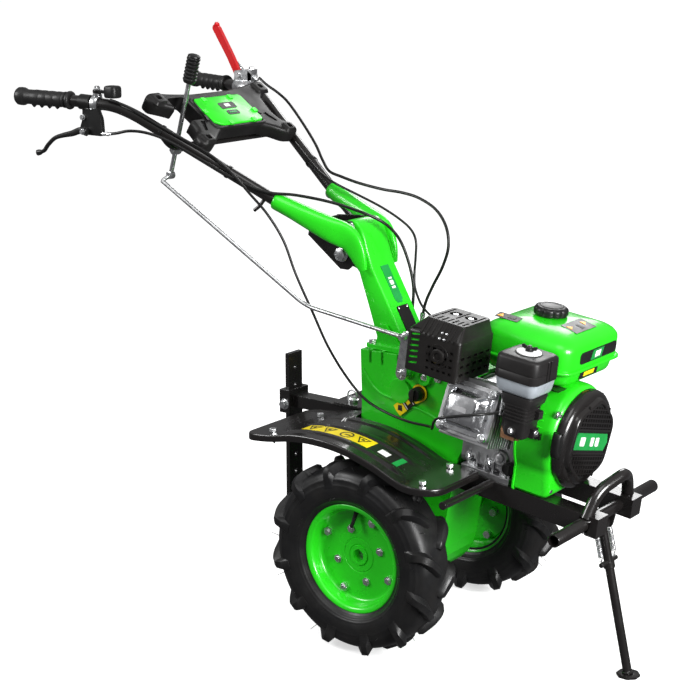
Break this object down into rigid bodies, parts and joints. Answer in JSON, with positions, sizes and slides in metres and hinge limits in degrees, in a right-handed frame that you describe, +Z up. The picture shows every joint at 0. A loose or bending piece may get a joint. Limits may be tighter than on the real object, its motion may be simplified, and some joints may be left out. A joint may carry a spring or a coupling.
{
  "type": "walk-behind cultivator",
  "caption": "Two-wheel walk-behind cultivator: leaning engine and gearbox on a frame, tilting handlebar with levers, fenders, front stand and rear depth bar.",
  "frame": {"origin": "on the ground under the middle of the machine's bounding box", "axes": "+X forward to the engine and stand, +Y to the operator's left, +Z up"},
  "size_m": [1.4089, 0.5974, 1.212],
  "materials": {
    "green_paint": "glossy enamel",
    "green_plastic": "satin moulded",
    "black_paint": "glossy powder coat",
    "black_plastic": "fine moulded grain",
    "grey_plastic": "translucent grey",
    "grip_rubber": "knurled",
    "tyre_rubber": "moulded",
    "zinc": "zinc plated",
    "steel": "machined",
    "cast_metal": "die cast",
    "polished_metal": "bright cast",
    "white_plastic": "moulded",
    "red_plastic": "glossy",
    "cable_sheath": "smooth"
  },
  "bodies": {
    "chassis": {"gearbox_case_left": "green_paint", "gearbox_case_right": "green_paint", "ball_bearings": "steel", "handlebar_column": "green_paint", "frame_bolts": "zinc", "frame_rails": "black_paint", "front_bumper": "black_paint", "crankcase": "cast_metal", "cylinder_head": "cast_metal", "valve_cover": "polished_metal", "blower_shroud": "green_paint", "recoil_cover": "black_paint", "fuel_tank": "green_paint", "muffler": "steel", "muffler_guard": "black_paint", "carburettor": "cast_metal", "air_filter_elbow": "black_plastic", "air_filter_bowl": "grey_plastic", "air_filter_lid": "black_plastic", "wing_nut": "white_plastic", "fender_right": "black_paint", "fender_left": "black_paint", "hitch_socket": "black_paint", "pivot_pins": "zinc", "stand_springs": "steel", "control_cables": "cable_sheath"},
    "wheels": {"axle_shaft": "steel", "rim_right": "green_paint", "rim_left": "green_paint", "tyre_right": "tyre_rubber", "tyre_left": "tyre_rubber", "wheel_nuts": "zinc", "final_gear": "steel"},
    "idler": {"idler_gear": "steel"},
    "mainshaft": {"main_shaft": "steel"},
    "inputshaft": {"input_shaft": "steel"},
    "crank": {"crankshaft": "steel", "flywheel_fan": "cast_metal"},
    "reel": {"recoil_reel": "black_plastic"},
    "starter_handle": {"recoil_handle": "black_plastic"},
    "fuel_cap": {"fuel_cap": "black_plastic"},
    "oil_plug": {"oil_plug": "black_plastic"},
    "stand": {"stand_leg": "black_paint"},
    "handlebar": {"handlebar_arms": "green_paint", "pivot_yoke": "black_paint", "pivot_bolt": "zinc", "handlebar_tubes": "black_paint", "hand_grips": "grip_rubber", "console": "black_plastic", "console_insert": "green_plastic", "lever_brackets": "zinc"},
    "shift_lever": {"shift_lever": "zinc"},
    "clutch_lever": {"clutch_lever": "red_plastic"},
    "reverse_lever": {"reverse_lever": "black_paint"},
    "throttle_lever": {"throttle_lever": "black_plastic"},
    "gear_arm": {"gear_arm": "zinc"},
    "rod_pin": {"rod_end_pin": "zinc"},
    "shift_rod": {"shift_rod": "zinc"},
    "hitch": {"drawbar": "black_paint"},
    "depth_bar": {"depth_bar": "black_paint"}
  },
  "joints": [
    {"name": "axle_spin", "type": "hinge", "parent": "chassis", "child": "wheels", "pos_m": [0.1813, 0, 0.203], "axis": [0, 1, 0], "continuous": true},
    {"name": "idler_spin", "type": "hinge", "parent": "chassis", "child": "idler", "pos_m": [0.19326, 0, 0.3826], "axis": [0, 1, 0], "continuous": true},
    {"name": "main_spin", "type": "hinge", "parent": "chassis", "child": "mainshaft", "pos_m": [0.17405, 0, 0.5132], "axis": [0, 1, 0], "continuous": true},
    {"name": "input_spin", "type": "hinge", "parent": "chassis", "child": "inputshaft", "pos_m": [0.21871, 0, 0.50771], "axis": [0.9925, 0, -0.1219], "continuous": true},
    {"name": "crank_spin", "type": "hinge", "parent": "chassis", "child": "crank", "pos_m": [0.4073, 0, 0.48456], "axis": [0.9925, 0, -0.1219], "continuous": true},
    {"name": "recoil_pull", "type": "slide", "parent": "chassis", "child": "starter_handle", "axis": [0, -1, 0], "range_m": [0, 0.1], "stiffness_N_per_m": 60, "springref_m": -0.15},
    {"name": "reel_spin", "type": "hinge", "parent": "chassis", "child": "reel", "pos_m": [0.55618, 0, 0.46628], "axis": [0.9925, 0, -0.1219], "range_deg": [0, 130]},
    {"name": "fuel_cap_lift", "type": "slide", "parent": "chassis", "child": "fuel_cap", "axis": [0.1219, 0, 0.9925], "range_m": [0, 0.05]},
    {"name": "oil_plug_pull", "type": "slide", "parent": "chassis", "child": "oil_plug", "axis": [0, -1, 0], "range_m": [0, 0.04]},
    {"name": "stand_fold", "type": "hinge", "parent": "chassis", "child": "stand", "pos_m": [0.6113, 0, 0.302], "axis": [0, 1, 0], "range_deg": [0, 88], "deforming": ["stand_springs"]},
    {"name": "handlebar_tilt", "type": "hinge", "parent": "chassis", "child": "handlebar", "pos_m": [0.0093, 0, 0.775], "axis": [0, 1, 0], "range_deg": [-10, 10], "deforming": ["control_cables"]},
    {"name": "shift_lever_swing", "type": "hinge", "parent": "handlebar", "child": "shift_lever", "pos_m": [-0.3897, -0.116, 0.968], "axis": [0, 1, 0], "range_deg": [-12, 12]},
    {"name": "gear_arm_swing", "type": "hinge", "parent": "chassis", "child": "gear_arm", "pos_m": [0.1933, -0.091, 0.557], "axis": [0, 1, 0], "range_deg": [-10, 10]},
    {"name": "rod_pin_slide", "type": "slide", "parent": "chassis", "child": "rod_pin", "axis": [0.9923, 0, -0.124], "range_m": [-0.0135, 0.0135]},
    {"name": "shift_rod_swing", "type": "hinge", "parent": "rod_pin", "child": "shift_rod", "pos_m": [0.2033, -0.103, 0.637], "axis": [0, 1, 0], "range_deg": [-7, 7]},
    {"name": "clutch_squeeze", "type": "hinge", "parent": "handlebar", "child": "clutch_lever", "pos_m": [-0.5087, 0.243, 1.096], "axis": [0, -1, 0], "range_deg": [0, 33], "stiffness_Nm_per_rad": 4, "springref_deg": -28.65},
    {"name": "reverse_squeeze", "type": "hinge", "parent": "handlebar", "child": "reverse_lever", "pos_m": [-0.5227, -0.256, 1.011], "axis": [0, 1, 0], "range_deg": [0, 25], "stiffness_Nm_per_rad": 4, "springref_deg": -28.65},
    {"name": "throttle_turn", "type": "hinge", "parent": "handlebar", "child": "throttle_lever", "pos_m": [-0.4987, -0.237, 1.095], "axis": [0, 0, 1], "range_deg": [-35, 35]},
    {"name": "hitch_swing", "type": "hinge", "parent": "chassis", "child": "hitch", "pos_m": [0.0013, 0, 0.424], "axis": [0, 0, 1], "range_deg": [-12, 12]},
    {"name": "depth_bar_slide", "type": "slide", "parent": "hitch", "child": "depth_bar", "axis": [0, 0, 1], "range_m": [-0.04, 0.05]}
  ],
  "couplings": [
    {"joint": "idler_spin", "follows": "axle_spin", "ratio": -0.8},
    {"joint": "main_spin", "follows": "axle_spin", "ratio": 2.5},
    {"joint": "input_spin", "follows": "axle_spin", "ratio": -5},
    {"joint": "reel_spin", "follows": "recoil_pull", "rad_per_m": 22.2},
    {"joint": "gear_arm_swing", "follows": "shift_lever_swing", "ratio": -0.752},
    {"joint": "rod_pin_slide", "follows": "shift_lever_swing", "m_per_rad": -0.0608},
    {"joint": "shift_rod_swing", "follows": "handlebar_tilt", "ratio": 0.649}
  ]
}
